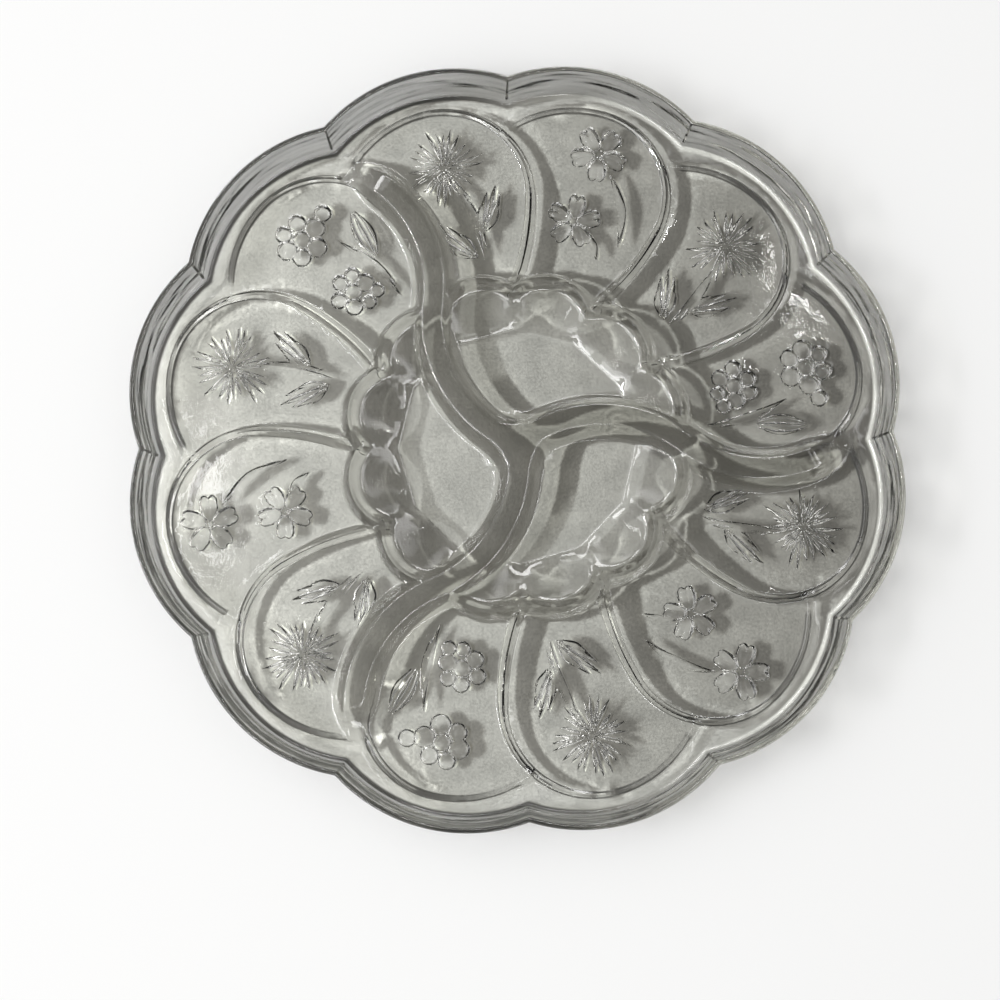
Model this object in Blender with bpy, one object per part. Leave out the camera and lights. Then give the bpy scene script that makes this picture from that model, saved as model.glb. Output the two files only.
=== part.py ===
"""Divided serving dish of clear pressed glass.

Twelve petal-shaped places stand round a fluted well, and three S-shaped
dividers swirl from the centre out to the rim and part the dish in three.
The real dish is one pressing. Each moulded feature is its own solid here,
set a hair's breadth from its neighbours, so that every hollow stays open.

Frame: metres, +Z up, origin on the table under the centre of the dish,
one notch of the rim on +X.
"""

import math

import bmesh
import bpy
from mathutils import Vector

# Counts
SECTIONS = 3
PETALS_PER_SECTION = 4
LOBES = SECTIONS * PETALS_PER_SECTION
PITCH = 2.0 * math.pi / LOBES
HALF_PITCH = 0.5 * PITCH

# Rim and floor
OVERALL_DIAMETER = 0.3050    # across two opposite lobes of the rim
RIM_HEIGHT = 0.0200
NOTCH_DEPTH = 0.0064         # how far the rim draws in between two lobes
LIP_WIDTH = 0.0030           # flat top of the rim
WALL_RUN = 0.0063            # from the rim's outer edge in to the wall's inner foot
OUTER_DRAFT = 0.0030         # how far the wall leans out from its foot to the rim
FLOOR_THICKNESS = 0.0050

# Petals: each has a round end, and a ridge that runs from the well round that end
GUTTER_WIDTH = 0.0037        # floor left between the wall and the petal ridges
PETAL_LENGTH = 0.0717        # from the well's crest out to the middle of the end ridge
PETAL_OVERLAP = 0.0072       # how far a petal's round end reaches into the next one's
SHOULDER_RADIUS = 0.0465     # flatter half of that end, on its counter-clockwise side
PETAL_LAG = 0.0012           # the round end lies this far clockwise of its lobe's middle
FLANK_RADIUS = 0.1000        # long side of a petal
TAIL_START = math.radians(42.0)
RIDGE_HEIGHT = 0.0045        # above the floor
RIDGE_FOOT = 0.0050          # width at the floor
RIDGE_CREST = 0.0016         # width at the top

# Swirl dividers: two arcs that join in an S where the divider crosses the well's wall
DIVIDER_HEIGHT = 0.0090      # above the floor
DIVIDER_FOOT = 0.0190
DIVIDER_CREST = 0.0095
CROSSING_OUTSIDE_WELL = 0.0025   # from the well's notch out to where the S turns
CROSSING_LAG = math.radians(0.9)
CROSSING_SLOPE = math.radians(38.5)
END_INSIDE_RIM = 0.0225      # from the rim's outer edge in to the end of the middle line

# Well: twelve scallops, each with a thumbprint flute that runs down to a flat-sided floor
WELL_NOTCH_DEPTH = 0.0058
WELL_HEIGHT = 0.0080         # crest above the floor
WELL_CREST = 0.0020
WELL_OUTER_RUN = 0.0030      # slope of the scallop towards the petals
WELL_INNER_RUN = 0.0040      # steep slope from the crest down to the flute
FLUTE_DROP = 0.0030          # from the crest down to the head of the flute
FLUTE_FOOT_HEIGHT = 0.0015   # low step where the flute meets the well's floor
FLUTE_FOOT_RUN = 0.0018
FLUTE_CREASE = 0.0012        # how far the edges of a flute stand above its middle
FLUTE_LENGTH = 0.0160        # from the notches of the crest in to the floor's corners

# Fits and edges
SEAT_GAP = 0.0003            # between neighbouring features
EDGE_ROUND = 0.0007
END_STEP = 0.0040            # from a divider's last square section to its end
CUT_MARGIN = 0.0020          # how far a cutter reaches past what it cuts

# Steps along the swept shapes
RIM_STEPS = 9
FILLET_STEPS = 4
FLANK_STEPS = 6
ARC_STEPS = 9
SHOULDER_STEPS = 4
DIVIDER_STEPS = 12
SCALLOP_STEPS = 8

# Worked out from the above
RIM_RADIUS = 0.5 * OVERALL_DIAMETER
SEAT_Z = FLOOR_THICKNESS + SEAT_GAP
PETAL_END = RIM_RADIUS - WALL_RUN - GUTTER_WIDTH - 0.5 * RIDGE_FOOT
PETAL_RADIUS = (PETAL_END * math.sin(HALF_PITCH) + PETAL_OVERLAP) / (1.0 + math.sin(HALF_PITCH))
PETAL_CENTRE_X = PETAL_END - PETAL_RADIUS
WELL_RADIUS = PETAL_END - PETAL_LENGTH
WELL_NOTCH_RADIUS = WELL_RADIUS - WELL_NOTCH_DEPTH
WELL_FLOOR_RADIUS = WELL_NOTCH_RADIUS - FLUTE_LENGTH


def clear_scene():
    for item in list(bpy.data.objects):
        bpy.data.objects.remove(item, do_unlink=True)


def glass(name, roughness):
    """Clear pressed glass with a faint warm grey."""
    material = bpy.data.materials.new(name)
    material.use_nodes = True
    shader = material.node_tree.nodes["Principled BSDF"]
    shader.inputs["Base Color"].default_value = (0.90, 0.90, 0.87, 1.0)
    shader.inputs["Roughness"].default_value = roughness
    shader.inputs["Metallic"].default_value = 0.0
    shader.inputs["Transmission Weight"].default_value = 1.0
    shader.inputs["IOR"].default_value = 1.5
    return material


def turned(x, y, angle):
    """A plan point turned about the middle of the dish."""
    return (x * math.cos(angle) - y * math.sin(angle), x * math.sin(angle) + y * math.cos(angle))


def loft_mesh(name, rings, material, halved_caps=False):
    """A closed mesh through equal rings of points, capped at both ends.

    With halved_caps each cap is two faces that meet on the line between
    the ring's first point and its middle one.
    """
    shape = bmesh.new()
    loops = [[shape.verts.new(point) for point in ring] for ring in rings]
    count = len(rings[0])
    for near, far in zip(loops, loops[1:]):
        for i in range(count):
            j = (i + 1) % count
            shape.faces.new((near[i], near[j], far[j], far[i]))
    for loop in (loops[0], loops[-1]):
        if halved_caps:
            middle = count // 2
            shape.faces.new(loop[:middle + 1])
            shape.faces.new(loop[middle:] + loop[:1])
        else:
            shape.faces.new(loop)
    bmesh.ops.recalc_face_normals(shape, faces=shape.faces)
    if shape.calc_volume(signed=True) < 0.0:
        bmesh.ops.reverse_faces(shape, faces=shape.faces)
    mesh = bpy.data.meshes.new(name)
    shape.to_mesh(mesh)
    shape.free()
    mesh.materials.append(material)
    mesh.shade_smooth()
    mesh.set_sharp_from_angle(angle=math.radians(32.0))
    return mesh


def place(name, mesh, parent, angle=0.0):
    item = bpy.data.objects.new(name, mesh)
    bpy.context.collection.objects.link(item)
    item.parent = parent
    item.rotation_euler.z = angle
    return item


def as_cutter(item):
    item.hide_render = True
    item.display_type = 'WIRE'
    return item


def cut(item, cutter):
    modifier = item.modifiers.new("seat_" + cutter.name, 'BOOLEAN')
    modifier.operation = 'DIFFERENCE'
    modifier.solver = 'EXACT'
    modifier.object = cutter


class Lobe:
    """One scallop of a lobed outline: an arc between two notches, its middle on +X."""

    def __init__(self, radius, notch_radius):
        half_chord = notch_radius * math.sin(HALF_PITCH)
        rise = radius - notch_radius * math.cos(HALF_PITCH)
        self.arc_radius = (half_chord ** 2 + rise ** 2) / (2.0 * rise)
        self.centre_x = radius - self.arc_radius

    def point(self, inset, share, gap):
        """The point at share -1 to 1 along the arc that lies inset inside the outline.

        The arc stops half a gap short of the planes through its notches.
        """
        radius = self.arc_radius - inset
        reach = (self.centre_x * math.sin(HALF_PITCH) - 0.5 * gap) / radius
        angle = share * (HALF_PITCH + math.asin(reach))
        return (self.centre_x + radius * math.cos(angle), radius * math.sin(angle))

    def outline(self, inset, steps):
        """The closed lobed outline, counter-clockwise from the notch on +X."""
        points = []
        for lobe in range(LOBES):
            for step in range(steps):
                x, y = self.point(inset, 2.0 * step / steps - 1.0, 0.0)
                points.append(turned(x, y, lobe * PITCH + HALF_PITCH))
        return points


RIM = Lobe(RIM_RADIUS, RIM_RADIUS - NOTCH_DEPTH)
WELL = Lobe(WELL_RADIUS, WELL_NOTCH_RADIUS)


def shares(steps):
    return [2.0 * step / steps - 1.0 for step in range(steps + 1)]


def make_floor(parent):
    outline = RIM.outline(WALL_RUN + SEAT_GAP, RIM_STEPS)
    rings = [[(x, y, z) for x, y in outline] for z in (0.0, FLOOR_THICKNESS)]
    place("floor_plate", loft_mesh("floor_plate", rings, glass("floor_glass", 0.06)), parent)


def rim_profile():
    """Inset from the rim's outer edge, and height, round one section of the wall."""
    top = RIM_HEIGHT - EDGE_ROUND
    profile = [(WALL_RUN, 0.0), (OUTER_DRAFT, 0.0), (0.0, top), (EDGE_ROUND, RIM_HEIGHT),
               (LIP_WIDTH - EDGE_ROUND, RIM_HEIGHT)]
    for step in range(FILLET_STEPS + 1):
        turn = 0.5 * math.pi * step / FILLET_STEPS
        inset = LIP_WIDTH + (WALL_RUN - LIP_WIDTH) * (1.0 - math.cos(turn))
        profile.append((inset, top - (top - FLOOR_THICKNESS) * math.sin(turn)))
    return profile


def make_rim(parent):
    profile = rim_profile()
    rings = []
    for share in shares(RIM_STEPS):
        rings.append([(*RIM.point(inset, share, SEAT_GAP), z) for inset, z in profile])
    mesh = loft_mesh("rim_lobe", rings, glass("rim_glass", 0.03))
    for lobe in range(LOBES):
        place(f"rim_lobe_{lobe + 1:02d}", mesh, parent, lobe * PITCH + HALF_PITCH)


class Ridge:
    """Plan of one petal ridge, in the frame of its own lobe: the lobe's middle on +X."""

    def __init__(self):
        self.centre = Vector((PETAL_CENTRE_X, -PETAL_LAG))
        self.shoulder_centre = self.centre - Vector((SHOULDER_RADIUS - PETAL_RADIUS, 0.0))
        start = Vector(turned(WELL_NOTCH_RADIUS, 0.0, -HALF_PITCH))
        to_start = start - self.centre
        # The flank is an arc from the well's notch that runs smoothly into the round end.
        along = FLANK_RADIUS * PETAL_RADIUS - 0.5 * (to_start.length_squared + PETAL_RADIUS ** 2)
        along /= (FLANK_RADIUS - PETAL_RADIUS) * to_start.length
        self.joint = math.atan2(to_start.y, to_start.x) + math.acos(along)
        joint_way = Vector((math.cos(self.joint), math.sin(self.joint)))
        self.flank_centre = self.centre - (FLANK_RADIUS - PETAL_RADIUS) * joint_way
        from_flank = start - self.flank_centre
        self.flank_start = math.atan2(from_flank.y, from_flank.x)

    def around(self, centre, radius, angle):
        """A place on an arc that the ridge follows counter-clockwise, and its direction there."""
        way = Vector((math.cos(angle), math.sin(angle)))
        return centre + radius * way, Vector((-way.y, way.x))

    def flank(self):
        sweep = (self.joint - self.flank_start) % (2.0 * math.pi)
        turns = [self.flank_start + sweep * step / FLANK_STEPS for step in range(FLANK_STEPS)]
        return [self.around(self.flank_centre, FLANK_RADIUS, turn) for turn in turns]

    def round_end(self, start):
        turns = [start * (1.0 - step / ARC_STEPS) for step in range(ARC_STEPS)]
        stations = [self.around(self.centre, PETAL_RADIUS, turn) for turn in turns]
        turns = [TAIL_START * step / SHOULDER_STEPS for step in range(SHOULDER_STEPS + 1)]
        return stations + [self.around(self.shoulder_centre, SHOULDER_RADIUS, turn) for turn in turns]

    def tail(self):
        """Where the straight tail starts, and its direction."""
        return self.around(self.shoulder_centre, SHOULDER_RADIUS, TAIL_START)

    def tail_meeting(self):
        """Where the straight tail meets the next ridge, and the way out from that ridge there.

        Counter-clockwise round the dish the next ridge is this one turned by one pitch.
        """
        origin, way = self.tail()
        other = Vector(turned(self.centre.x, self.centre.y, PITCH))
        reach = PETAL_RADIUS + 0.5 * RIDGE_FOOT
        offset = origin - other
        half = offset.dot(way)
        travel = -half - math.sqrt(half ** 2 - offset.length_squared + reach ** 2)
        meeting = origin + travel * way
        return meeting, (meeting - other).normalized()


RIDGE = Ridge()
RIDGE_SIDE_RUN = 0.5 * (RIDGE_FOOT - RIDGE_CREST)


def ridge_section():
    """Offset to the left of the path, and height above the seat, round one ridge."""
    foot = 0.5 * RIDGE_FOOT
    crest = 0.5 * RIDGE_CREST
    shoulder = crest + EDGE_ROUND * RIDGE_SIDE_RUN / RIDGE_HEIGHT
    low = RIDGE_HEIGHT - EDGE_ROUND
    inner = max(crest - EDGE_ROUND, 0.4 * crest)
    return [(-foot, 0.0), (-shoulder, low), (-inner, RIDGE_HEIGHT),
            (inner, RIDGE_HEIGHT), (shoulder, low), (foot, 0.0)]


def divider_section():
    """Half-rounded band with a flat top, first point in the middle of its underside."""
    foot = 0.5 * DIVIDER_FOOT
    crest = 0.5 * DIVIDER_CREST
    low = DIVIDER_HEIGHT - 2.0 * EDGE_ROUND
    shoulder = crest + (foot - crest) * 2.0 * EDGE_ROUND / DIVIDER_HEIGHT
    inner = crest - 2.0 * EDGE_ROUND
    return [(0.0, 0.0), (-foot, 0.0), (-shoulder, low), (-inner, DIVIDER_HEIGHT),
            (0.0, DIVIDER_HEIGHT), (inner, DIVIDER_HEIGHT), (shoulder, low), (foot, 0.0)]


def cutter_section():
    """The band's outline grown by the seat gap, from under the floor to above the band."""
    foot = 0.5 * DIVIDER_FOOT + SEAT_GAP
    crest = 0.5 * DIVIDER_CREST + SEAT_GAP
    lean = (foot - crest) / DIVIDER_HEIGHT
    wide = foot + lean * CUT_MARGIN
    narrow = crest - lean * CUT_MARGIN
    high = DIVIDER_HEIGHT + CUT_MARGIN
    return [(0.0, -CUT_MARGIN), (-wide, -CUT_MARGIN), (-narrow, high),
            (0.0, high), (narrow, high), (wide, -CUT_MARGIN)]


def swept_rings(stations, section, start_planes=(), end_planes=()):
    """Rings of a section carried square to a path.

    Planes at an end, each a point and its outward normal, mitre that end:
    every point slides along the path until it lies on the first plane met.
    """
    rings = []
    for number, (place_at, way) in enumerate(stations):
        left = Vector((-way.y, way.x))
        forward = Vector((way.x, way.y, 0.0))
        ring = []
        for offset, height in section:
            flat = place_at + offset * left
            point = Vector((flat.x, flat.y, SEAT_Z + height))
            if number == 0 and start_planes:
                point += forward * max((at - point).dot(normal) / forward.dot(normal)
                                       for at, normal in start_planes)
            if number == len(stations) - 1 and end_planes:
                point += forward * min((at - point).dot(normal) / forward.dot(normal)
                                       for at, normal in end_planes)
            ring.append(point)
        rings.append(ring)
    return rings


def ridge_face(meeting, way_out, gap):
    """Plane that lies a gap outside the sloping side of a ridge."""
    normal = Vector((way_out.x * RIDGE_HEIGHT, way_out.y * RIDGE_HEIGHT, RIDGE_SIDE_RUN)).normalized()
    return Vector((meeting.x, meeting.y, SEAT_Z)) + gap * normal, normal


def make_ridges(parent, well_cutter, divider_cutters):
    material = glass("ridge_glass", 0.03)
    meeting, way_out = RIDGE.tail_meeting()
    end = ridge_face(meeting, way_out, SEAT_GAP)
    origin, way = RIDGE.tail()
    tail = [(origin + (meeting - origin).dot(way) * way, way)]
    whole = RIDGE.flank() + RIDGE.round_end(RIDGE.joint) + tail
    # Beside a divider the flank is the divider's own edge, so the ridge starts at its end.
    beside = RIDGE.round_end(RIDGE.joint + 0.5 * HALF_PITCH) + tail
    section = ridge_section()
    whole_mesh = loft_mesh("petal_ridge", swept_rings(whole, section, (), [end]), material)
    beside_mesh = loft_mesh("petal_end_ridge", swept_rings(beside, section, (), [end]), material)
    for lobe in range(LOBES):
        divider, place_in_section = divmod(lobe, PETALS_PER_SECTION)
        mesh = whole_mesh if place_in_section else beside_mesh
        item = place(f"petal_ridge_{lobe + 1:02d}", mesh, parent, lobe * PITCH + HALF_PITCH)
        cut(item, well_cutter if place_in_section else divider_cutters[divider])


def arc_from(point, way, target):
    """Centre and radius of the arc that leaves a point in a direction and reaches a target."""
    left = Vector((-way.y, way.x))
    chord = target - point
    radius = chord.length_squared / (2.0 * chord.dot(left))
    return point + radius * left, radius


def arc_stations(centre, start, finish, steps):
    """Places and directions along the shorter arc about a centre."""
    first = math.atan2(start.y - centre.y, start.x - centre.x)
    last = math.atan2(finish.y - centre.y, finish.x - centre.x)
    sweep = (last - first + math.pi) % (2.0 * math.pi) - math.pi
    radius = (start - centre).length
    side = math.copysign(1.0, sweep)
    stations = []
    for step in range(steps + 1):
        angle = first + sweep * step / steps
        way = Vector((math.cos(angle), math.sin(angle)))
        stations.append((centre + radius * way, side * Vector((-way.y, way.x))))
    return stations


def divider_path():
    """Middle line of the divider on +X, from the middle of the dish out towards the rim."""
    hub = Vector((0.0, 0.0))
    crossing = Vector(turned(WELL_NOTCH_RADIUS + CROSSING_OUTSIDE_WELL, 0.0, -CROSSING_LAG))
    finish = Vector((RIM_RADIUS - END_INSIDE_RIM, 0.0))
    way = Vector((math.cos(CROSSING_SLOPE), -math.sin(CROSSING_SLOPE)))
    inner_centre = arc_from(crossing, -way, hub)[0]
    outer_centre = arc_from(crossing, way, finish)[0]
    # The last square section stands just inside the tail that the divider ends on.
    foot, inward = closing_tail()
    radius = (crossing - outer_centre).length
    stop = math.atan2(inward.y, inward.x) + math.acos((foot - outer_centre).dot(inward) / radius)
    stop -= END_STEP / radius
    last = outer_centre + radius * Vector((math.cos(stop), math.sin(stop)))
    inner = arc_stations(inner_centre, hub, crossing, DIVIDER_STEPS)
    outer = arc_stations(outer_centre, crossing, last, DIVIDER_STEPS)
    # The hub's mitre reaches past the first step, which is left out.
    return inner[:1] + inner[2:] + outer[1:]


def hub_planes(way):
    """The two upright planes that part this divider from the others at the hub."""
    planes = []
    for side in (1.0, -1.0):
        normal = Vector(turned(way.x, way.y, side * (math.pi / SECTIONS - 0.5 * math.pi)))
        planes.append((Vector((0.5 * SEAT_GAP * normal.x, 0.5 * SEAT_GAP * normal.y, 0.0)),
                       Vector((normal.x, normal.y, 0.0))))
    return planes


def closing_tail():
    """Inner foot of the straight tail that closes the divider's outer end, and the way in from it.

    That ridge belongs to the lobe clockwise of the divider.
    """
    origin, way = RIDGE.tail()
    inward = Vector((-way.y, way.x))
    foot = origin + 0.5 * RIDGE_FOOT * inward
    return Vector(turned(foot.x, foot.y, -HALF_PITCH)), Vector(turned(inward.x, inward.y, -HALF_PITCH))


def tail_room_mesh():
    """All that lies outside the inner side of a ridge's shoulder and tail, grown by the seat gap."""
    lean = RIDGE_SIDE_RUN / RIDGE_HEIGHT
    seat = 0.5 * RIDGE_FOOT + SEAT_GAP * math.hypot(1.0, lean)
    high = DIVIDER_HEIGHT + CUT_MARGIN
    section = [(-DIVIDER_FOOT, -CUT_MARGIN), (-DIVIDER_FOOT, high),
               (seat - lean * high, high), (seat + lean * CUT_MARGIN, -CUT_MARGIN)]
    origin, way = RIDGE.tail()
    stations = RIDGE.round_end(-HALF_PITCH)[ARC_STEPS - 2:] + [(origin + DIVIDER_FOOT * way, way)]
    return loft_mesh("tail_room", swept_rings(stations, section), glass("tail_room", 0.03))


def make_dividers(parent):
    path = divider_path()
    end = ridge_face(*closing_tail(), -0.5 * RIDGE_FOOT)
    rings = swept_rings(path, divider_section(), hub_planes(path[0][1]), [end])
    mesh = loft_mesh("swirl_divider", rings, glass("divider_glass", 0.03), halved_caps=True)
    room = swept_rings(path, cutter_section(), (), [ridge_face(*closing_tail(), 0.0)])
    cutter_mesh = loft_mesh("divider_room", room, glass("divider_room", 0.03), halved_caps=True)
    tail_mesh = tail_room_mesh()
    cutters = []
    for number in range(SECTIONS):
        angle = 2.0 * math.pi * number / SECTIONS
        item = place(f"swirl_divider_{number + 1}", mesh, parent, angle)
        cut(item, as_cutter(place(f"tail_room_{number + 1}", tail_mesh, parent, angle - HALF_PITCH)))
        cutters.append(as_cutter(place(f"divider_room_{number + 1}", cutter_mesh, parent, angle)))
    return cutters


def make_well_cutter(parent):
    """The scalloped well grown by the seat gap, which the inner ends of the ridges butt against."""
    lean = WELL_OUTER_RUN / WELL_HEIGHT
    rings = []
    for height in (-CUT_MARGIN, WELL_HEIGHT + CUT_MARGIN):
        inset = -WELL_OUTER_RUN - SEAT_GAP + lean * height
        outline = WELL.outline(inset, SCALLOP_STEPS)
        rings.append([(x, y, SEAT_Z + height) for x, y in outline])
    mesh = loft_mesh("well_room", rings, glass("well_room", 0.03))
    return as_cutter(place("well_room", mesh, parent))


def flute_ring(share):
    """One radial section of a scallop, from its outer foot over the crest to the well's floor."""
    crease = FLUTE_CREASE * share ** 2
    head_z = WELL_HEIGHT - FLUTE_DROP
    ring = []
    for inset, height in ((-WELL_OUTER_RUN, 0.0), (0.0, WELL_HEIGHT - EDGE_ROUND),
                          (EDGE_ROUND, WELL_HEIGHT), (WELL_CREST, WELL_HEIGHT)):
        ring.append((*WELL.point(inset, share, SEAT_GAP), SEAT_Z + height))
    crest = Vector(ring[-1][:2])
    step, floor = [floor_edge(radius, share) for radius in
                   (WELL_FLOOR_RADIUS + FLUTE_FOOT_RUN, WELL_FLOOR_RADIUS)]
    head = crest + WELL_INNER_RUN * (step - crest).normalized()
    middle = 0.5 * (head + step)
    # Halfway down, the thumbprint sags below the straight line to its foot.
    sag_z = 0.5 * (head_z + FLUTE_FOOT_HEIGHT) - 0.5 * FLUTE_CREASE
    for point, height in ((head, head_z + crease), (middle, sag_z + crease),
                          (step, FLUTE_FOOT_HEIGHT), (floor, 0.0)):
        ring.append((point.x, point.y, SEAT_Z + height))
    return ring


def floor_edge(radius, share):
    """A point on one straight side of the well's floor, whose corners lie at a radius."""
    half_side = radius * math.sin(HALF_PITCH) - 0.5 * SEAT_GAP / math.cos(HALF_PITCH)
    return Vector((radius * math.cos(HALF_PITCH), share * half_side))


def make_well(parent, divider_cutters):
    rings = [flute_ring(share) for share in shares(SCALLOP_STEPS)]
    mesh = loft_mesh("well_flute", rings, glass("well_glass", 0.04))
    for lobe in range(LOBES):
        item = place(f"well_flute_{lobe + 1:02d}", mesh, parent, lobe * PITCH + HALF_PITCH)
        # The flutes on both sides of a divider are cut where it passes between them.
        for notch in (lobe, lobe + 1):
            divider, rest = divmod(notch, PETALS_PER_SECTION)
            if rest == 0:
                cut(item, divider_cutters[divider % SECTIONS])


def main():
    clear_scene()
    dish = bpy.data.objects.new("dish", None)
    bpy.context.collection.objects.link(dish)
    make_floor(dish)
    make_rim(dish)
    divider_cutters = make_dividers(dish)
    well_cutter = make_well_cutter(dish)
    make_ridges(dish, well_cutter, divider_cutters)
    make_well(dish, divider_cutters)


main()
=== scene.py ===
"""Looks of the divided serving dish: one continuous body of clear pressed glass.

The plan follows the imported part: a lobed rim, twelve petals, three swirling
dividers and a fluted well. Lengths are in millimetres until the mesh is made.
"""

import math

import bpy
import numpy as np
from mathutils import Matrix, Vector
from mathutils.geometry import delaunay_2d_cdt


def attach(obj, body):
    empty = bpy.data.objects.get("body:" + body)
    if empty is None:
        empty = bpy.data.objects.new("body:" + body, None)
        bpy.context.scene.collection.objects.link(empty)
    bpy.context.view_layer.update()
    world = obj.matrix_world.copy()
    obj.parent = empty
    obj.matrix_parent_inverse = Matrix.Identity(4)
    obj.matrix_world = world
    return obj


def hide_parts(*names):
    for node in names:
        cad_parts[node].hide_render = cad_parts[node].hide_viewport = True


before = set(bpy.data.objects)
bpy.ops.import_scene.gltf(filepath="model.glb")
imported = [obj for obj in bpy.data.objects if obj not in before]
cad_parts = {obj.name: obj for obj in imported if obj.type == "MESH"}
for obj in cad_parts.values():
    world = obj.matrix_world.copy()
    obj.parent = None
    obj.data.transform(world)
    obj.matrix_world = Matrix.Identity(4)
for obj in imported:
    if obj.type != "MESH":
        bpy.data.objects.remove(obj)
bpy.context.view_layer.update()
MM = 0.001
TAU = 2.0 * math.pi

# Plan, as in the part
SECTIONS = 3
PETALS_PER_SECTION = 4
LOBES = 12
PITCH = TAU / LOBES
HALF = 0.5 * PITCH
RIM_RADIUS = 152.5
RIM_HEIGHT = 20.0
NOTCH_DEPTH = 6.4
OUTER_DRAFT = 3.0
OUTER_FOOT_ROUND = 0.8
LIP_HALF = 1.0
LIP_RISE = 1.4
WALL_FOOT = 7.2
WALL_FILLET = 1.9
FLOOR_Z = 5.0
GUTTER_Z = 3.0
GUTTER_STEP_RUN = 3.0
PETALS_WITHIN = 124.0
PETAL_RADIUS = 34.5
PETAL_CENTRE = (105.5, -1.2)
SHOULDER_RADIUS = 46.5
SHOULDER_CENTRE = (PETAL_CENTRE[0] - (SHOULDER_RADIUS - PETAL_RADIUS), PETAL_CENTRE[1])
FLANK_RADIUS = 100.0
TAIL_START = math.radians(42.0)
WELL_RADIUS = 68.3
WELL_NOTCH_RADIUS = 62.5
WELL_FLOOR_RADIUS = 46.5
WELL_HEIGHT = 8.0
WELL_CREST = 2.0
WELL_OUTER_RUN = 3.0
FLUTE_FOOT_HEIGHT = 1.5
FLUTE_FOOT_RUN = 1.8
FLUTE_RISE, FLUTE_CURVE = 3.0, 1.3
FLUTE_CREASE = 1.2
CREST_LAP = 0.3
CREST_ROUND, CREST_ROUND_RUN = 3.5, 1.7
DIVIDER_HEIGHT = 9.0
DIVIDER_FOOT = 8.8
DIVIDER_CREST = 4.4
CROSSING_LAG = math.radians(0.9)
CROSSING_SLOPE = math.radians(38.5)
CROSSING_RADIUS = WELL_NOTCH_RADIUS + 2.5
DIVIDER_REACH = RIM_RADIUS - 22.5
DIVIDER_BLEND = 7.0
# Where along a divider's outer arc its end begins to sink and to narrow, and by how much
END_SINK_FROM, END_SINK = 0.74, 0.86
END_SLIM_FROM, END_SLIM = 0.76, 0.42
# Ridge where its stretches meet, from the well round to its tail: height, and run of its two sides
RIDGE_HEIGHTS = (5.2, 3.2, 0.5, 0.45, 0.3)
RIDGE_INSIDE = (2.6, 2.4, 1.7, 1.6, 1.3)
RIDGE_OUTSIDE = (3.0, 2.7, 1.6, 1.5, 1.2)
RIDGE_TOP = 0.5
GROOVE_WIDTHS = (0.15, 0.6, 0.1)
GROOVE_SLOPE = 1.2
# Rounding of the ends of a slope, as a share of its run
SLOPE_SOFT = 0.22
STEP_SOFT = 0.2
# How far the ridges blend into the well, both into the dividers, and what blending adds to the floor
RIDGE_BLEND, BODY_BLEND, BLEND_LIFT = 0.5, 0.8, 0.12
# Flowers: the stretch of a lobe that they lie in, their roundness and how far they show above
FLOWER_HALF = 32.0
FLOWER_FROM, FLOWER_TO = 68.0, 140.0
DOME_ROUND = 0.68
DOME_SWELL = 0.25
BURST_AT = (117.0, -4.5)
BURST_RAYS = 26
LEAF_FAN = ((-0.27, 0.60), (-0.14, 0.86), (0.0, 1.0), (0.14, 0.84), (0.28, 0.58))
PETAL_LEAN = 0.17
INNER_BEADS = ((91.5, 6.0), (85.5, 3.5), (82.5, -2.0), (90.0, -0.5),
               (96.0, 0.5), (95.0, -5.0), (89.0, -6.5), (83.5, -7.5))
OUTER_BEADS = ((114.5, 3.5), (120.5, 5.5), (126.0, 2.0), (113.0, -3.5),
               (119.5, -1.5), (125.5, -5.0), (119.0, -8.5), (121.0, -15.0))

# Mesh
AROUND = 480
OUTER_ROWS = 9
UNDER_CELL = 0.2
TOP_CELL = 0.32
FILL_WITHIN = 150.0
SHARP_ANGLE = math.radians(34.0)

# Key light, and the pattern that the relief makes of it on the table, with painted light and shade added
KEY_AT = (-4.20, -0.48, 2.80)
LIGHT_TURN = math.atan2(-KEY_AT[1], -KEY_AT[0])
LIGHT_RISE = math.atan2(KEY_AT[2], math.hypot(KEY_AT[0], KEY_AT[1]))
LIGHT_CELL = 0.3
LIGHT_BLUR = 0.3
IOR = 1.5
FOOT_GAP = 2.5
FLOWER_SHADE = 0.72
FLOWER_SHIFT = 6.0
FLOWER_BLUR = 0.55
LIGHT_FADE = 0.0029
LIGHT_CRISP = 0.5
CRISP_REACH = 2.2
BUSY_STEP = 0.8
BUSY_CHANGE = 0.06
END_RIDGE = 0.5
END_WIDTHS = ((0.45, 0.75), (0.75, 0.45))
END_FADE = 0.4
EDGE_SHADE = 0.88
SHADE_FLOOR, SHADE_TOP = 0.46, 2.4
LAMP_TINT = (1.50, 1.515, 1.47)
SHADE_TINT = (1.575, 1.515, 1.40)
WALL_TINT = (0.97, 0.97, 0.965)
# How far painted light evens out the shade on the wells' floors
WELL_SHADE = 0.55
# Painted light on the side of the key light, and how much more there is on the far side
FLUTE_LIGHT = (0.45, 0.65)
WALL_LIGHT = (0.06, 2.4)
OUTER_WAVES = (0.15, 0.13)
# Painted light in the gutter, strongest towards one turn: its shade is evened out part way, then
# brightened
GUTTER_BRIGHT = math.radians(235.0)
GUTTER_EVEN_LIGHT = 0.75
GUTTER_EXTRA_LIGHT = 0.14

# Glass
GLASS_COLOUR = (0.93, 0.93, 0.915, 1.0)
GLASS_DEPTH_COLOUR = (0.34, 0.33, 0.27, 1.0)
GLASS_DENSITY = 44.0
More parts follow.
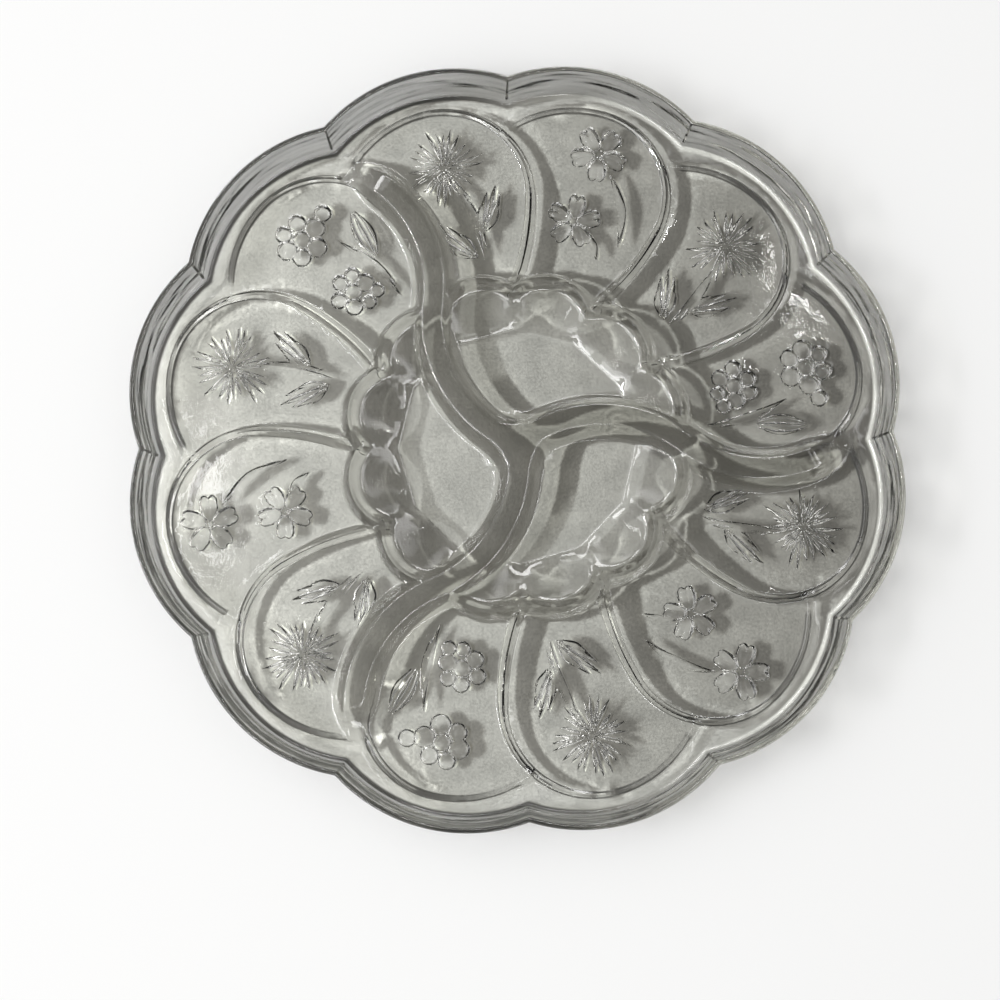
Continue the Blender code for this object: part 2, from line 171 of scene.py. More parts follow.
# Noises: scale and detail; bumps: strength and distance
WAVES, WAVE_BUMP = (90.0, 2.0), (0.12, 0.0008)
STIPPLE, STIPPLE_BUMP = (1100.0, 1.0), (0.12, 0.00012)
STREAKS, STREAK_BUMP = (400.0, 1.0), 0.0034
STREAK_STRETCH = (0.09, 0.09, 0.45)
WAVE_ROUGH, STREAK_ROUGH = 0.025, 0.30
NOISE_MIDDLE = (0.3, 0.7)
STIPPLE_LIGHT, WAVE_LIGHT = (0.80, 1.20), (0.90, 1.10)

# Table, which fades into the backdrop, and what the room shows of itself
TABLE_FADE = 1.7
TABLE_RADIUS = 3.2
TABLE_SIDES = 96
TABLE_Z = -0.0004
TABLE_COLOUR = (0.90, 0.90, 0.895, 1.0)
TABLE_ROUGH = 0.9
BACKDROP = 0.66
BACKDROP_FADE = (0.24, 0.45)
BACKDROP_THROUGH = (0.7, 0.2)
ROOM_STOPS = ((0.0, (0.10, 0.10, 0.097)), (0.9, (0.30, 0.30, 0.30)))
WINDOW_WAY = (-0.84, -0.10, 0.53)
WINDOW_STOPS = ((0.45, (0.0, 0.0, 0.0)), (0.92, (1.3, 1.3, 1.3)))
RING_STOPS = ((0.51, 0.0), (0.57, 1.0), (0.69, 1.0), (0.76, 0.3), (0.90, 0.3), (0.94, 0.0))
RING_PATCHES, RING_BREAKS = (3.0, 0.0), (0.44, 0.60)
RING_LEVEL = 14.0
RING_THROUGH = 0.14

# Camera
CAMERA_AT = (-0.0320, -0.1259, 0.7927)
CAMERA_TARGET = (-0.00714, -0.02065, 0.0)
CAMERA_UP = (0.0279, 0.9996, 0.0)
CAMERA_LENS = 73.0
CAMERA_SENSOR = 36.0


def smooth(t):
    t = np.clip(t, 0.0, 1.0)
    return t * t * (3.0 - 2.0 * t)


def eased(t, soft):
    """A straight ramp from 0 to 1 with rounded ends."""
    def area(s):
        return 0.5 * np.clip(s, 0.0, 1.0) ** 2 + np.maximum(s - 1.0, 0.0)
    return (area(t + soft) - area(t - soft)) / (2.0 * soft)


def smooth_max(a, b, reach):
    """The larger of two heights, blended where they differ by less than a reach."""
    share = np.clip(0.5 + 0.5 * (a - b) / reach, 0.0, 1.0)
    return b + (a - b) * share + reach * share * (1.0 - share)


def smooth_min(a, b, reach):
    return -smooth_max(-a, -b, reach)


def turned(x, y, angle):
    c, s = math.cos(angle), math.sin(angle)
    return x * c - y * s, x * s + y * c


def in_lobe(x, y, lobe):
    """A place in a lobe's own frame: outward along its middle, and across it."""
    angle = lobe * PITCH + HALF
    c, s = np.cos(angle), np.sin(angle)
    return x * c + y * s, y * c - x * s


def angles(count):
    return TAU * np.arange(count) / count


def round_points(centre, reach, turn):
    return np.stack((centre[0] + reach * np.cos(turn), centre[1] + reach * np.sin(turn)), 1)


def lobe_arc(radius, notch_radius):
    """Radius of one scallop's arc, and how far out its centre lies."""
    half_chord = notch_radius * math.sin(HALF)
    rise = radius - notch_radius * math.cos(HALF)
    arc = (half_chord ** 2 + rise ** 2) / (2.0 * rise)
    return arc, radius - arc


RIM_ARC, RIM_CENTRE = lobe_arc(RIM_RADIUS, RIM_RADIUS - NOTCH_DEPTH)
WELL_ARC, WELL_CENTRE = lobe_arc(WELL_RADIUS, WELL_NOTCH_RADIUS)


def rim_reach(theta, inset):
    """Distance from the middle of the dish to the rim's outline drawn in by an inset."""
    off = (theta % PITCH) - HALF
    return (RIM_CENTRE * np.cos(off)
            + np.sqrt((RIM_ARC - inset) ** 2 - (RIM_CENTRE * np.sin(off)) ** 2))


def arc_near(u, v, centre, radius, first, span):
    """Distance to an arc, which side of it a point lies on, and how far along its nearest place is."""
    du, dv = u - centre[0], v - centre[1]
    away = np.hypot(du, dv) - radius
    turn = (np.arctan2(dv, du) - first) % TAU
    past = turn > span
    late = (turn - span) < (TAU - turn)
    end = np.where(late, first + span, first)
    ends = np.hypot(u - centre[0] - radius * np.cos(end), v - centre[1] - radius * np.sin(end))
    along = np.where(past, np.where(late, 1.0, 0.0), turn / span)
    return np.where(past, ends, np.abs(away)), away, along


def ridge_plan():
    """Joint angle of flank and round end, and the flank's centre, first angle and span."""
    start = np.array(turned(WELL_NOTCH_RADIUS, 0.0, -HALF))
    centre = np.array(PETAL_CENTRE)
    to_start = start - centre
    length = float(np.hypot(*to_start))
    along = FLANK_RADIUS * PETAL_RADIUS - 0.5 * (length ** 2 + PETAL_RADIUS ** 2)
    along /= (FLANK_RADIUS - PETAL_RADIUS) * length
    joint = math.atan2(to_start[1], to_start[0]) + math.acos(along)
    flank = centre - (FLANK_RADIUS - PETAL_RADIUS) * np.array((math.cos(joint), math.sin(joint)))
    first = math.atan2(start[1] - flank[1], start[0] - flank[0])
    return joint, flank, first, (joint - first) % TAU


JOINT, FLANK_CENTRE, FLANK_FIRST, FLANK_SPAN = ridge_plan()
TAIL_AT = (SHOULDER_CENTRE[0] + SHOULDER_RADIUS * math.cos(TAIL_START),
           SHOULDER_CENTRE[1] + SHOULDER_RADIUS * math.sin(TAIL_START))
TAIL_WAY = (-math.sin(TAIL_START), math.cos(TAIL_START))


def tail_length():
    """Length of a ridge's straight tail, which ends at the next petal's round end."""
    other = turned(PETAL_CENTRE[0], PETAL_CENTRE[1], PITCH)
    off = (TAIL_AT[0] - other[0], TAIL_AT[1] - other[1])
    half = off[0] * TAIL_WAY[0] + off[1] * TAIL_WAY[1]
    return -half - math.sqrt(half ** 2 - off[0] ** 2 - off[1] ** 2 + PETAL_RADIUS ** 2)


TAIL_LENGTH = tail_length()


def between(values, stretch, along):
    """A value on its way from one end of a stretch of the ridge to the other."""
    along = np.sqrt(along) if stretch == 1 else along
    return values[stretch] + (values[stretch + 1] - values[stretch]) * along


def ridge_bump(stretch, near, away, along):
    """Height of the ridge's cross-section at a distance from its crest."""
    inside, outside = between(RIDGE_INSIDE, stretch, along), between(RIDGE_OUTSIDE, stretch, along)
    run = np.where(away < 0.0, inside, outside)
    down = eased((near - RIDGE_TOP) / (run - RIDGE_TOP), SLOPE_SOFT)
    return between(RIDGE_HEIGHTS, stretch, along) * (1.0 - down)


RIDGE_ARCS = ((FLANK_CENTRE, FLANK_RADIUS, FLANK_FIRST, FLANK_SPAN),
              (PETAL_CENTRE, PETAL_RADIUS, JOINT, -JOINT % TAU),
              (SHOULDER_CENTRE, SHOULDER_RADIUS, 0.0, TAIL_START))


def ridge_height(x, y, lobe):
    """Height of one petal's ridge; it is tallest at the well and runs out at its tail."""
    u, v = in_lobe(x, y, lobe)
    height = ridge_bump(0, *arc_near(u, v, *RIDGE_ARCS[0])) * (lobe % PETALS_PER_SECTION != 0)
    for stretch in (1, 2):
        height = np.maximum(height, ridge_bump(stretch, *arc_near(u, v, *RIDGE_ARCS[stretch])))
    du, dv = u - TAIL_AT[0], v - TAIL_AT[1]
    along = np.clip(du * TAIL_WAY[0] + dv * TAIL_WAY[1], 0.0, TAIL_LENGTH)
    near = np.hypot(du - along * TAIL_WAY[0], dv - along * TAIL_WAY[1])
    away = du * TAIL_WAY[1] - dv * TAIL_WAY[0]
    return np.maximum(height, ridge_bump(3, near, away, along / TAIL_LENGTH))


def gutter_drop(x, y, lobe):
    """How far a place outside the petals' outer edge lies below the petals' floors."""
    beyond = np.hypot(x, y) - PETALS_WITHIN
    for step in (-1, 0, 1):
        u, v = in_lobe(x, y, (lobe + step) % LOBES)
        beyond = np.minimum(beyond, np.hypot(u - PETAL_CENTRE[0], v - PETAL_CENTRE[1]) - PETAL_RADIUS)
        du, dv = u - SHOULDER_CENTRE[0], v - SHOULDER_CENTRE[1]
        turn = np.arctan2(dv, du)
        here = (turn >= 0.0) & (turn <= TAIL_START)
        beyond = np.where(here, np.minimum(beyond, np.hypot(du, dv) - SHOULDER_RADIUS), beyond)
        du, dv = u - TAIL_AT[0], v - TAIL_AT[1]
        along = du * TAIL_WAY[0] + dv * TAIL_WAY[1]
        away = du * TAIL_WAY[1] - dv * TAIL_WAY[0]
        here = (along >= 0.0) & (along <= TAIL_LENGTH) & (away > -20.0)
        beyond = np.where(here, np.minimum(beyond, away), beyond)
    return (FLOOR_Z - GUTTER_Z) * eased(beyond / GUTTER_STEP_RUN, STEP_SOFT)


def arc_rows(arc, offsets, step):
    """Points along an arc, in rows beside it."""
    centre, radius, first, span = arc
    count = max(4, int(radius * span / step))
    turn = first + span * np.linspace(0.0, 1.0, count + 1)
    return np.concatenate([round_points(centre, radius + off, turn) for off in offsets])


def arc_centre(point, way, target):
    """Centre of the arc that leaves a point in a given way and passes a target."""
    left = np.array((-way[1], way[0]))
    chord = target - point
    return point + left * float(chord @ chord) / (2.0 * float(chord @ left))


def divider_arcs():
    """Centre, radius, first angle, span and turn (left or not) of the two arcs of the divider on +X."""
    hub = np.zeros(2)
    crossing = np.array(turned(CROSSING_RADIUS, 0.0, -CROSSING_LAG))
    way = np.array((math.cos(CROSSING_SLOPE), -math.sin(CROSSING_SLOPE)))
    finish = np.array((DIVIDER_REACH, 0.0))
    arcs = []
    for centre, ends in ((arc_centre(crossing, -way, hub), (hub, crossing)),
                         (arc_centre(crossing, way, finish), (crossing, finish))):
        start, end = [math.atan2(*(point - centre)[::-1]) for point in ends]
        sweep = (end - start + math.pi) % TAU - math.pi
        radius = float(np.hypot(*(ends[0] - centre)))
        arcs.append((centre, radius, start if sweep > 0.0 else end, abs(sweep), sweep > 0.0))
    return arcs


DIVIDER_ARCS = divider_arcs()


def divider_near(x, y, number):
    """Distance to a divider's middle line, and the share of its outer arc that lies behind."""
    u, v = turned(x, y, -TAU * number / SECTIONS)
    (c0, r0, f0, s0, _), (c1, r1, f1, s1, forward) = DIVIDER_ARCS
    inner = arc_near(u, v, c0, r0, f0, s0)[0]
    outer, _, along = arc_near(u, v, c1, r1, f1, s1)
    along = along if forward else 1.0 - along
    return np.minimum(inner, outer), np.where(outer <= inner, along, 0.0)


def divider_height(x, y):
    """Height of the dividers, which run together in the middle and sink at their outer ends."""
    near = [divider_near(x, y, number) for number in range(SECTIONS)]
    gap = smooth_min(smooth_min(near[0][0], near[1][0], DIVIDER_BLEND), near[2][0], DIVIDER_BLEND)
    along = np.max([item[1] for item in near], axis=0)
    tall = DIVIDER_HEIGHT * (1.0 - smooth((along - END_SINK_FROM) / (1.0 - END_SINK_FROM)) * END_SINK)
    slim = 1.0 - END_SLIM * smooth((along - END_SLIM_FROM) / (1.0 - END_SLIM_FROM))
    down = eased((gap / slim - DIVIDER_CREST) / (DIVIDER_FOOT - DIVIDER_CREST), SLOPE_SOFT)
    return tall * (1.0 - down)


def well_height(u, v):
    """Height of the well's scalloped crest and of the flutes inside it, in a lobe's own frame."""
    out = np.hypot(u - WELL_CENTRE, v) - WELL_ARC
    outside = WELL_HEIGHT * (1.0 - eased((out + CREST_LAP) / WELL_OUTER_RUN, STEP_SOFT))
    step_u = (WELL_FLOOR_RADIUS + FLUTE_FOOT_RUN) * math.cos(HALF)
    floor_u = WELL_FLOOR_RADIUS * math.cos(HALF)
    down = np.maximum(-out - WELL_CREST, 0.0)
    length = np.maximum(down + np.maximum(u - step_u, 0.0), 0.5)
    run = np.clip(down / length, 0.0, 1.0)
    side = np.clip(v / np.maximum(u * math.tan(HALF), 1.0), -1.0, 1.0)
    flute = (FLUTE_FOOT_HEIGHT + FLUTE_RISE * (1.0 - run) ** FLUTE_CURVE
             + CREST_ROUND * np.exp(-(down / CREST_ROUND_RUN) ** 2)
             + FLUTE_CREASE * side ** 2 * 4.0 * run * (1.0 - run))
    step = FLUTE_FOOT_HEIGHT * smooth((u - floor_u) / (step_u - floor_u))
    inside = np.where(u > step_u, flute, step)
    crest = np.where(out > -WELL_CREST, WELL_HEIGHT, inside)
    height = np.where(out > -CREST_LAP, outside, np.minimum(crest, WELL_HEIGHT))
    return np.where(u > floor_u, height, 0.0)


class Stroke:
    """A tapered groove; it bows to its left by a share of its length, and is widest at fat."""

    def __init__(self, start, end, width, depth, bow=0.0, fat=0.5):
        self.start = np.array(start)
        self.way = np.array(end) - self.start
        self.length = float(np.hypot(*self.way))
        self.way = self.way / self.length
        self.width, self.depth, self.bow, self.fat = width, depth, bow, fat

    def taper(self, t):
        rise = np.where(t < self.fat, t / self.fat, (1.0 - t) / (1.0 - self.fat))
        return np.clip(rise * (1.6 - 0.6 * rise), 0.0, 1.0)

    def bend(self, t):
        return self.bow * self.length * 4.0 * t * (1.0 - t)

    def carve(self, u, v):
        du, dv = u - self.start[0], v - self.start[1]
        t = (du * self.way[0] + dv * self.way[1]) / self.length
        off = dv * self.way[0] - du * self.way[1] - self.bend(t)
        taper = self.taper(np.clip(t, 0.0, 1.0)) + 1e-6
        across = np.clip(1.0 - np.abs(off / (self.width * taper)) ** 1.4, 0.0, 1.0)
        return self.depth * np.sqrt(taper) * across

    def points(self):
        t = np.linspace(0.0, 1.0, max(5, int(self.length / 0.9)) + 1)
        rows = []
        for side in (0.0, -0.5, 0.5, -1.0, 1.0, -2.0, 2.0):
            off = self.bend(t) + np.sign(side) * (min(abs(side), 1.0) * self.width * self.taper(t)
                                                  + 0.4 * max(abs(side) - 1.0, 0.0))
            rows.append(np.stack((self.start[0] + t * self.length * self.way[0] - off * self.way[1],
                                  self.start[1] + t * self.length * self.way[1] + off * self.way[0]), 1))
        return np.concatenate(rows)


class Dome:
    """An oval bead or petal, pressed up from the underside."""

    def __init__(self, centre, way, long_half, short_half, height):
        self.centre, self.way = centre, way
        self.long_half, self.short_half, self.height = long_half, short_half, height

    def carve(self, u, v):
        c, s = math.cos(self.way), math.sin(self.way)
        du, dv = u - self.centre[0], v - self.centre[1]
        q = ((du * c + dv * s) / self.long_half) ** 2 + ((dv * c - du * s) / self.short_half) ** 2
        return self.height * np.clip(1.0 - q, 0.0, 1.0) ** DOME_ROUND

    def points(self):
        rows = [np.array(((0.0, 0.0),))]
        for share, count in ((0.35, 8), (0.62, 12), (0.82, 16), (0.94, 20), (1.0, 22), (1.12, 16)):
            turn = angles(count)
            oval = np.stack((self.long_half * np.cos(turn), self.short_half * np.sin(turn)), 1)
            rows.append(share * oval)
        flat = np.concatenate(rows)
        u, v = turned(flat[:, 0], flat[:, 1], self.way)
        return np.stack((u + self.centre[0], v + self.centre[1]), 1)


def polar(centre, radius, angle):
    return (centre[0] + radius * math.cos(angle), centre[1] + radius * math.sin(angle))


def burst(seed):
    """A many-rayed flower with a stem and two bundles of narrow leaves."""
    rng = np.random.default_rng(seed)
    strokes = []
    for ray in range(BURST_RAYS):
        angle = TAU * (ray + rng.uniform(-0.22, 0.22)) / BURST_RAYS
        reach = 12.0 + 6.0 * rng.random()
        start = 0.4 + 4.5 * rng.random() * (ray % 2)
        strokes.append(Stroke(polar(BURST_AT, start, angle), polar(BURST_AT, reach, angle), 0.75, 0.8,
                              rng.uniform(-0.05, 0.05), 0.45))
    strokes.append(Stroke((76.0, -9.5), (112.0, -7.0), 1.5, 1.0, -0.04, 0.6))
    strokes.append(Stroke((80.0, -11.8), (104.0, -9.8), 1.1, 0.8, -0.03, 0.5))
    for start, tip in (((77.0, -7.5), (95.0, 6.0)), ((86.0, -11.5), (105.0, -22.5))):
        way = math.atan2(tip[1] - start[1], tip[0] - start[0])
        length = math.hypot(tip[0] - start[0], tip[1] - start[1])
        for fan, share in LEAF_FAN:
            strokes.append(Stroke(polar(start, 4.0 * abs(fan), way),
                                  polar(start, share * length, way + fan),
                                  1.15, 1.05, 0.36 * fan, 0.62))
    return strokes, []


def five_petals():
    """Two flowers on curved stems, each with five notched petals made of two ovals."""
    strokes, domes = [], []
    for centre, turn, size in (((94.5, -1.0), 2.55, 1.0), ((124.0, -4.5), 0.75, 1.05)):
        for petal in range(5):
            angle = turn + TAU * petal / 5
            for lean in (-PETAL_LEAN, PETAL_LEAN):
                domes.append(Dome(polar(centre, 6.3 * size, angle + lean), angle + 0.8 * lean,
                                  4.5 * size, 2.1 * size, 1.9))
            strokes.append(Stroke(polar(centre, 0.8, angle), polar(centre, 8.0 * size, angle),
                                  0.7, 0.8, 0.0, 0.4))
    strokes.append(Stroke((81.0, -13.5), (92.0, -6.5), 1.6, 1.0, -0.08))
    strokes.append(Stroke((88.0, -20.5), (118.0, -10.0), 2.1, 1.3, -0.10))
    return strokes, domes


def bead_clusters():
    """Two clusters of round beads on a stem with a pointed leaf."""
    domes = []
    for beads, radius in ((INNER_BEADS, 3.1), (OUTER_BEADS, 3.6)):
        for number, at in enumerate(beads):
            size = radius * (1.0 + 0.12 * math.sin(2.4 * number))
            domes.append(Dome(at, 0.0, size, size, 2.3))
    strokes = [Stroke((74.0, -12.5), (110.0, -11.0), 1.5, 1.0, -0.06),
               Stroke((79.0, -14.6), (104.0, -13.6), 1.1, 0.8, -0.05)]
    strokes += [Stroke((93.0, -17.5), (114.0, -24.0), 1.0, 0.9, bow) for bow in (-0.15, 0.0, 0.15)]
    return strokes, domes


ORNAMENTS = (bead_clusters(), burst(7), five_petals(), burst(11))


def ornament(x, y, part):
    """Depth in the underside of the flowers' strokes (part 0) or ovals (part 1); four kinds take turns."""
    relief = np.zeros_like(x)
    for lobe in range(LOBES):
        u, v = turned(x, y, -(lobe * PITCH + HALF))
        near = (np.abs(v) < FLOWER_HALF) & (u > FLOWER_FROM) & (u < FLOWER_TO)
        u, v = u[near], v[near]
        depth = np.zeros_like(u)
        for item in ORNAMENTS[lobe % PETALS_PER_SECTION][part]:
            depth = np.maximum(depth, item.carve(u, v))
        relief[near] = np.maximum(relief[near], depth)
    return relief


def lobe_of(x, y):
    return np.floor((np.arctan2(y, x) % TAU) / PITCH).astype(int) % LOBES


def groove_depth(x, y):
    """A narrow groove in the underside beneath each flank, which draws its line sharply."""
    lobe = lobe_of(x, y)
    depth = np.zeros_like(x)
    for step in (-1, 0, 1):
        which = (lobe + step) % LOBES
        u, v = in_lobe(x, y, which)
        for stretch in (0, 1):
            near, _, along = arc_near(u, v, *RIDGE_ARCS[stretch])
            here = GROOVE_SLOPE * np.maximum(between(GROOVE_WIDTHS, stretch, along) - near, 0.0)
            depth = np.maximum(depth, here * (which % PETALS_PER_SECTION != 0))
    return depth


def under_height(x, y):
    """Height of the underside above the table."""
    return np.maximum(np.maximum(ornament(x, y, 0), ornament(x, y, 1)), groove_depth(x, y))


def top_height(x, y, ends=1.0):
    """Height of the inside of the dish above the table; ends scales the petals' outer edges."""
    lobe = lobe_of(x, y)
    ridges = np.zeros_like(x)
    for step in (-1, 0, 1):
        ridges = np.maximum(ridges, ridge_height(x, y, (lobe + step) % LOBES))
    ridges = np.maximum(ridges - END_RIDGE * (1.0 - ends), 0.0)
    u, v = in_lobe(x, y, lobe)
    body = smooth_max(well_height(u, v), ridges, RIDGE_BLEND)
    body = smooth_max(body, divider_height(x, y), BODY_BLEND)
    floor = FLOOR_Z - ends * gutter_drop(x, y, lobe)
    return floor + np.maximum(body - BLEND_LIFT, 0.0) + DOME_SWELL * ornament(x, y, 1)


def lobe_points(flat, lobes=range(LOBES)):
    """The same points turned into each of the lobes."""
    return np.concatenate([np.stack(turned(flat[:, 0], flat[:, 1], lobe * PITCH + HALF), 1)
                           for lobe in lobes])


def thinned(points, cell):
    """Drops points that crowd an earlier one."""
    for shift in (0.0, 0.5):
        cells = np.floor(points / cell + shift).astype(np.int64)
        _, first = np.unique(cells[:, 0] * 1000003 + cells[:, 1], return_index=True)
        points = points[np.sort(first)]
    return points


def flower_points(whole):
    """Points along the flowers' ovals, and along their strokes too where the whole flower is asked for."""
    groups = []
    for kind, (strokes, domes) in enumerate(ORNAMENTS):
        items = domes + strokes if whole else domes
        if items:
            flat = np.concatenate([item.points() for item in items])
            groups.append(lobe_points(flat, range(kind, LOBES, PETALS_PER_SECTION)))
    return np.concatenate(groups)


def hex_points(step):
    """A loose even fill of points over the dish."""
    row = np.arange(-RIM_RADIUS, RIM_RADIUS, step)
    x, y = np.meshgrid(row, row * math.sqrt(0.75) * 1.15)
    x = x + 0.5 * step * (np.arange(len(row)) % 2)[:, None]
    flat = np.stack((x.ravel(), y.ravel()), 1)
    return flat[np.hypot(flat[:, 0], flat[:, 1]) < FILL_WITHIN]


def ridge_points():
    """Points along the petals' ridges, in rows over their crests and down both sides."""
    rows = []
    for stretch, (centre, radius, first, span) in enumerate(RIDGE_ARCS):
        lobes = [lobe for lobe in range(LOBES) if stretch or lobe % PETALS_PER_SECTION]
        along = np.linspace(0.0, 1.0, max(4, int(radius * span / 1.5)) + 1)
        turn = first + span * along
        for runs, side in ((RIDGE_INSIDE, -1.0), (RIDGE_OUTSIDE, 1.0)):
            run = between(runs, stretch, along)
            for share in (0.0, 0.25, 0.5, 0.75, 1.0, 1.15):
                reach = radius + side * (RIDGE_TOP + (run - RIDGE_TOP) * share)
                rows.append(lobe_points(round_points(centre, reach, turn), lobes))
    along = np.linspace(0.0, TAIL_LENGTH, 12)[:, None] * np.array(TAIL_WAY)
    side = np.array((TAIL_WAY[1], -TAIL_WAY[0]))
    rows.append(lobe_points(np.concatenate([np.array(TAIL_AT) + along + off * side
                                            for off in (-1.6, -1.0, -0.5, 0.0, 0.6, 1.2, 2.0, 2.8, 3.6)])))
    return np.concatenate(rows)


def groove_points():
    """Points along the grooves beneath the flanks."""
    rows = []
    lobes = [lobe for lobe in range(LOBES) if lobe % PETALS_PER_SECTION]
    for stretch in (0, 1):
        centre, radius, first, span = RIDGE_ARCS[stretch]
        share = np.linspace(0.0, 1.0, max(4, int(radius * span / 1.6)) + 1)
        wide = between(GROOVE_WIDTHS, stretch, share)
        turn = first + span * share
        for side in (0.0, -1.0, 1.0, -1.5, 1.5):
            reach = radius + side * wide
            rows.append(lobe_points(round_points(centre, reach, turn), lobes))
    return np.concatenate(rows)


def end_points():
    """Points beside the line of shade under each petal's outer edge."""
    rows = []
    for stretch, (start, end) in zip((1, 2), END_WIDTHS):
        centre, radius, first, span = RIDGE_ARCS[stretch]
        share = np.linspace(0.0, 1.0, max(4, int(radius * span / 1.2)) + 1)
        turn = first + span * share
        for side in (0.0, -1.0, 1.0):
            for off in (-0.3, 0.3) if side else (0.0,):
                reach = radius + side * (start + (end - start) * share) + off
                rows.append(lobe_points(round_points(centre, reach, turn)))
    return np.concatenate(rows)


def top_points():
    """Plan points along every crest, foot, flute and bead of the inside."""
    run = DIVIDER_FOOT - DIVIDER_CREST
    down = np.array((-0.25, -0.12, 0.0, 0.12, 0.35, 0.65, 0.88, 1.0, 1.12, 1.3))
    across_divider = np.concatenate(((0.7, 2.2), DIVIDER_CREST + run * down))
    rows = [flower_points(False), ridge_points()]
    out = np.array((0.0, -0.6, 0.7, 1.4, 2.2, 3.0, 3.6, -1.3, -2.0, -2.7, -3.5, -4.4,
                    -5.4, -6.5, -7.8, -9.2, -10.8, -12.6))
    half = math.asin(WELL_CENTRE * math.sin(HALF) / WELL_ARC) + HALF
    flat = arc_rows(((WELL_CENTRE, 0.0), WELL_ARC, -half, 2.0 * half), out, 1.2)
    inside = (np.abs(np.arctan2(flat[:, 1], flat[:, 0])) <= HALF + 1e-6) & (flat[:, 0] > 47.5)
    rows.append(lobe_points(flat[inside]))
    across = np.linspace(-1.0, 1.0, 25)
    side = np.stack((np.full(len(across), math.cos(HALF)), math.sin(HALF) * across), 1)
    for off in (0.0, FLUTE_FOOT_RUN, 0.5 * FLUTE_FOOT_RUN, -0.6):
        rows.append(lobe_points((WELL_FLOOR_RADIUS + off) * side))
    spoke = np.linspace(WELL_FLOOR_RADIUS, WELL_NOTCH_RADIUS + 3.0, 24)
    rows.append(lobe_points(np.stack((spoke * math.cos(HALF), spoke * math.sin(HALF)), 1)))
    for centre, radius, first, span, _ in DIVIDER_ARCS:
        offsets = np.concatenate((-across_divider, across_divider))
        flat = arc_rows((centre, radius, first, span), offsets, 1.6)
        for number in range(SECTIONS):
            rows.append(np.stack(turned(flat[:, 0], flat[:, 1], TAU * number / SECTIONS), 1))
    return np.concatenate(rows)


def edge_reach(edge, x, y):
    """Distance from the middle of the dish to a lobed edge, towards each place."""
    reach = np.hypot(edge[:, 0], edge[:, 1])
    theta = angles(AROUND + 1) * (AROUND + 1) / AROUND
    return np.interp(np.arctan2(y, x) % TAU, theta, np.append(reach, reach[0]))


def filled(edge, features, fill, cell):
    """Edge points first, then the features, then such fill points as stand clear of them."""
    size = int(2 * RIM_RADIUS) + 8
    taken = np.zeros((size, size), bool)
    at = np.floor(features + RIM_RADIUS + 4).astype(int)
    for dx in (-1, 0, 1):
        for dy in (-1, 0, 1):
            taken[at[:, 0] + dx, at[:, 1] + dy] = True
    at = np.floor(fill + RIM_RADIUS + 4).astype(int)
    points = thinned(np.concatenate((features, fill[~taken[at[:, 0], at[:, 1]]])), cell)
    reach = np.hypot(points[:, 0], points[:, 1])
    bound = edge_reach(edge, points[:, 0], points[:, 1])
    return np.concatenate((edge[:, :2], points[reach < bound - 0.5]))


def triangulated(edge, flat):
    """Plan points and counter-clockwise triangles inside a lobed edge."""
    sides = [(i, (i + 1) % AROUND) for i in range(AROUND)]
    found = delaunay_2d_cdt([Vector(point) for point in flat.tolist()], sides, [], 0, 1e-5)
    plan = np.array([tuple(point) for point in found[0]])
    tris = np.array(found[2])
    middle = plan[tris].mean(axis=1)
    bound = edge_reach(edge, middle[:, 0], middle[:, 1])
    tris = tris[np.hypot(middle[:, 0], middle[:, 1]) < bound]
    one, two = plan[tris[:, 1]] - plan[tris[:, 0]], plan[tris[:, 2]] - plan[tris[:, 0]]
    clockwise = one[:, 0] * two[:, 1] < one[:, 1] * two[:, 0]
    tris[clockwise] = tris[clockwise][:, ::-1]
    return plan, tris


def ring_of(reach, z):
    """Points round the dish at one height."""
    theta = angles(len(reach))
    return np.stack((reach * np.cos(theta), reach * np.sin(theta), np.full(len(reach), z)), 1)


def rim_profile():
    """Inset and height from the foot of the outer wall over the lip to the foot of the inner wall."""
    rows = [(OUTER_DRAFT + 1.2, 0.0), (OUTER_DRAFT + 0.45, 0.12), (OUTER_DRAFT + 0.12, 0.5)]
    lip_base = RIM_HEIGHT - LIP_RISE
    for step in range(1, 7):
        t = step / 6.0
        rows.append((OUTER_DRAFT * (1.0 - t) + 0.02,
                     OUTER_FOOT_ROUND + (lip_base - OUTER_FOOT_ROUND) * t))
    for step in range(1, 10):
        turn = math.pi * step / 10.0
        across = math.copysign(abs(math.cos(turn)) ** 0.75, math.cos(turn))
        rows.append((LIP_HALF - LIP_HALF * across, lip_base + LIP_RISE * math.sin(turn) ** 0.8))
    high, low = (2.0 * LIP_HALF, lip_base), (WALL_FOOT - WALL_FILLET, GUTTER_Z + WALL_FILLET)
    for step in range(7):
        t = step / 6.0
        rows.append((high[0] + (low[0] - high[0]) * t, high[1] + (low[1] - high[1]) * t))
    lean = math.atan2(high[1] - low[1], low[0] - high[0])
    knee = (low[0] + (low[1] - GUTTER_Z - 0.1) / math.tan(lean), GUTTER_Z + 0.1)
    end = (WALL_FOOT, GUTTER_Z)
    for step in range(1, 7):
        t = step / 6.0
        rows.append(tuple((1 - t) ** 2 * low[i] + 2 * t * (1 - t) * knee[i] + t * t * end[i]
                          for i in (0, 1)))
    return rows


def busy(flat, light):
    """Those points near which the light on the table changes."""
    here = light_at(light, flat[:, 0], flat[:, 1])
    change = np.zeros(len(flat))
    for dx, dy in ((BUSY_STEP, 0.0), (-BUSY_STEP, 0.0), (0.0, BUSY_STEP), (0.0, -BUSY_STEP)):
        beside = light_at(light, flat[:, 0] + dx, flat[:, 1] + dy)
        change = np.maximum(change, np.abs(beside - here))
    return flat[change > BUSY_CHANGE]


